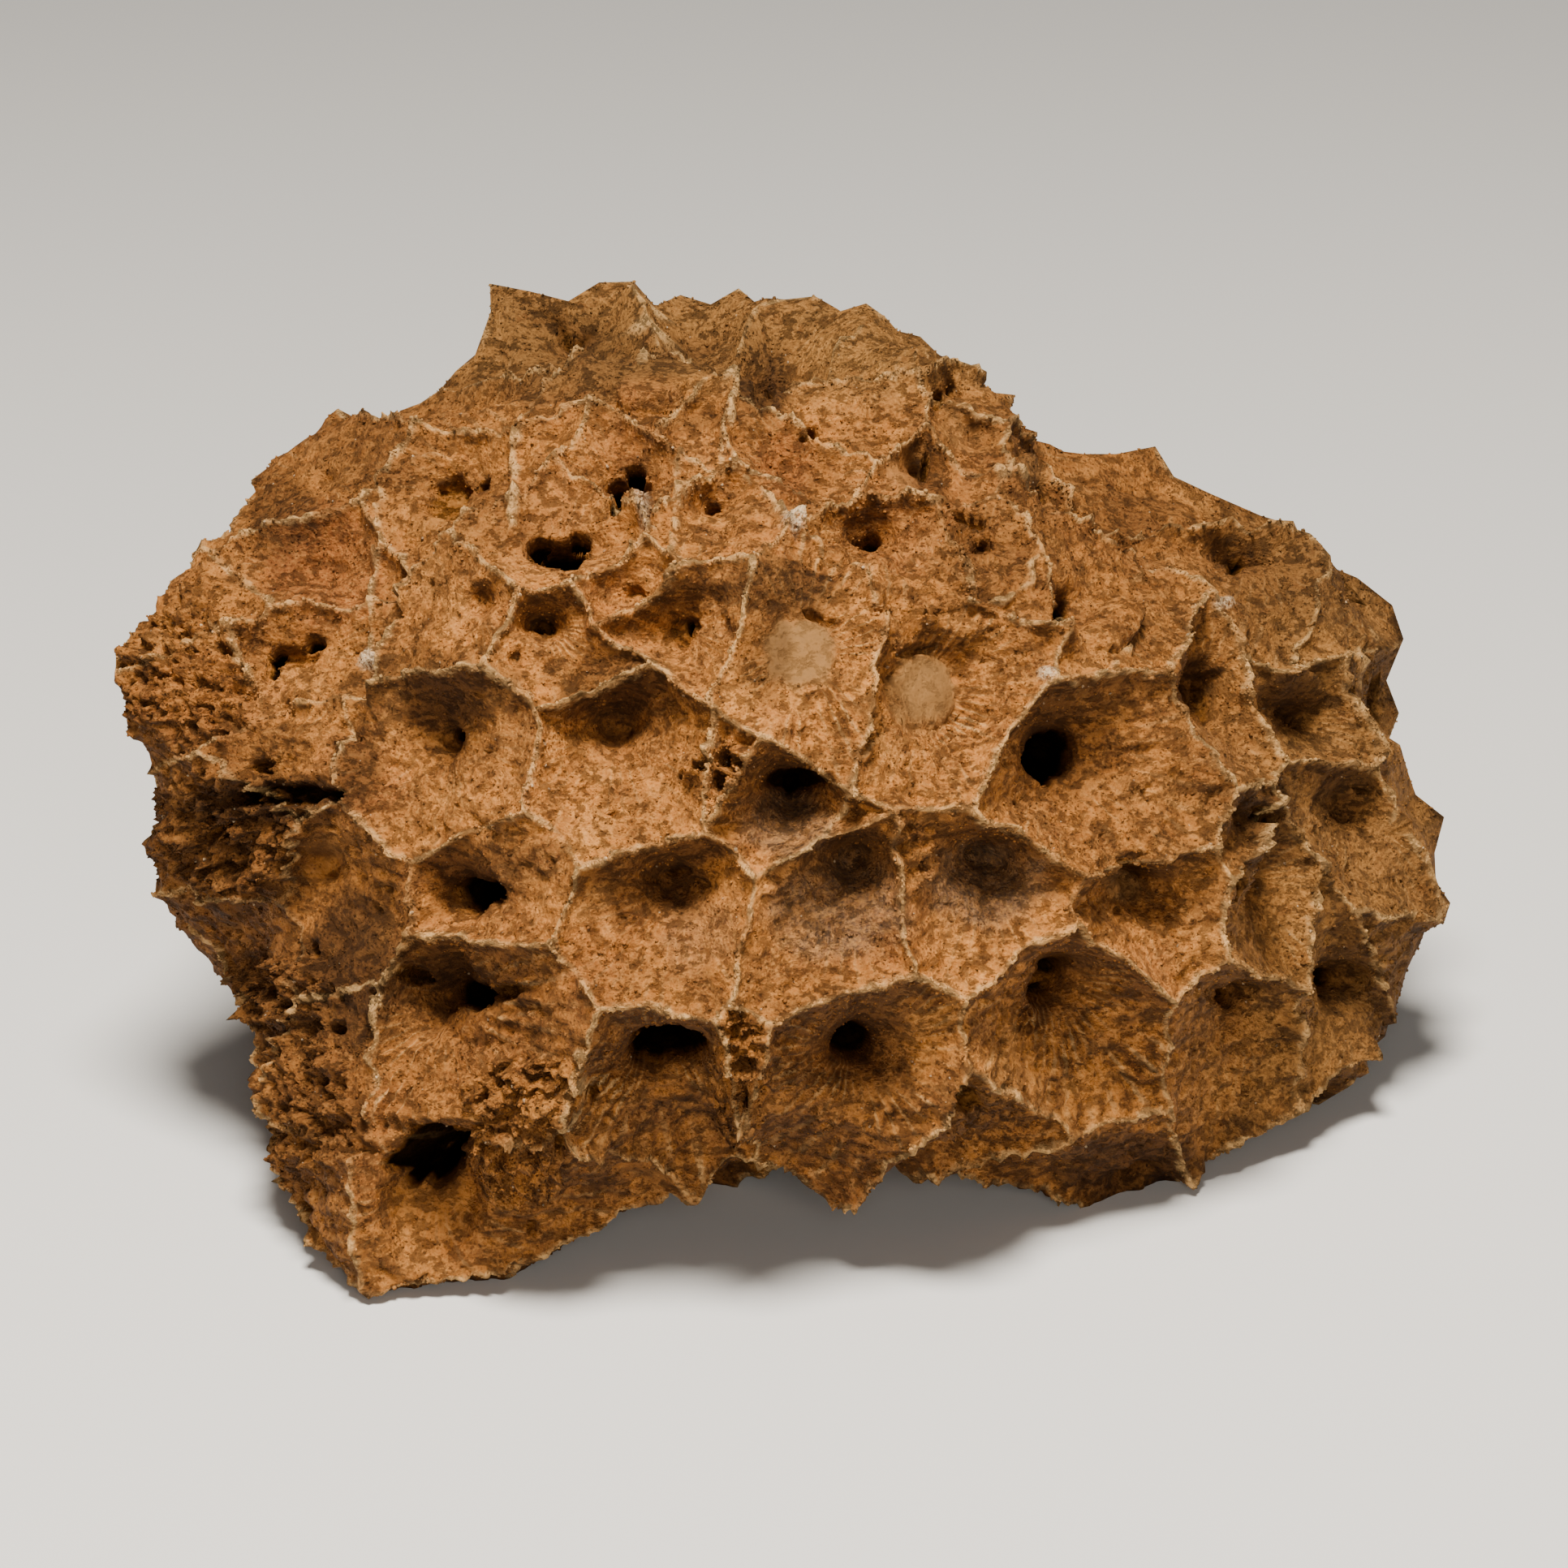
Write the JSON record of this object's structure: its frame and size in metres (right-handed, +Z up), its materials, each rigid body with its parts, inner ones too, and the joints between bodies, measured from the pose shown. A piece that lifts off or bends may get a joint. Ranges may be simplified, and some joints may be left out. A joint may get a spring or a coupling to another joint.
{
  "type": "fossil colonial rugose coral",
  "caption": "Massive lump of fossil colonial coral: many-sided deep cups that share thin raised walls, cut off flat underneath to rest on.",
  "frame": {"origin": "centre of the colony's bounding box in plan, at the height of the flat cut that it rests on", "axes": "+X towards the side that the picture shows on its right, -Y towards the picture's camera, +Z up"},
  "size_m": [0.1004, 0.0746, 0.0582],
  "materials": {
    "stone": "matte"
  },
  "bodies": {
    "root": {"coral_colony": "stone"}
  },
  "joints": []
}
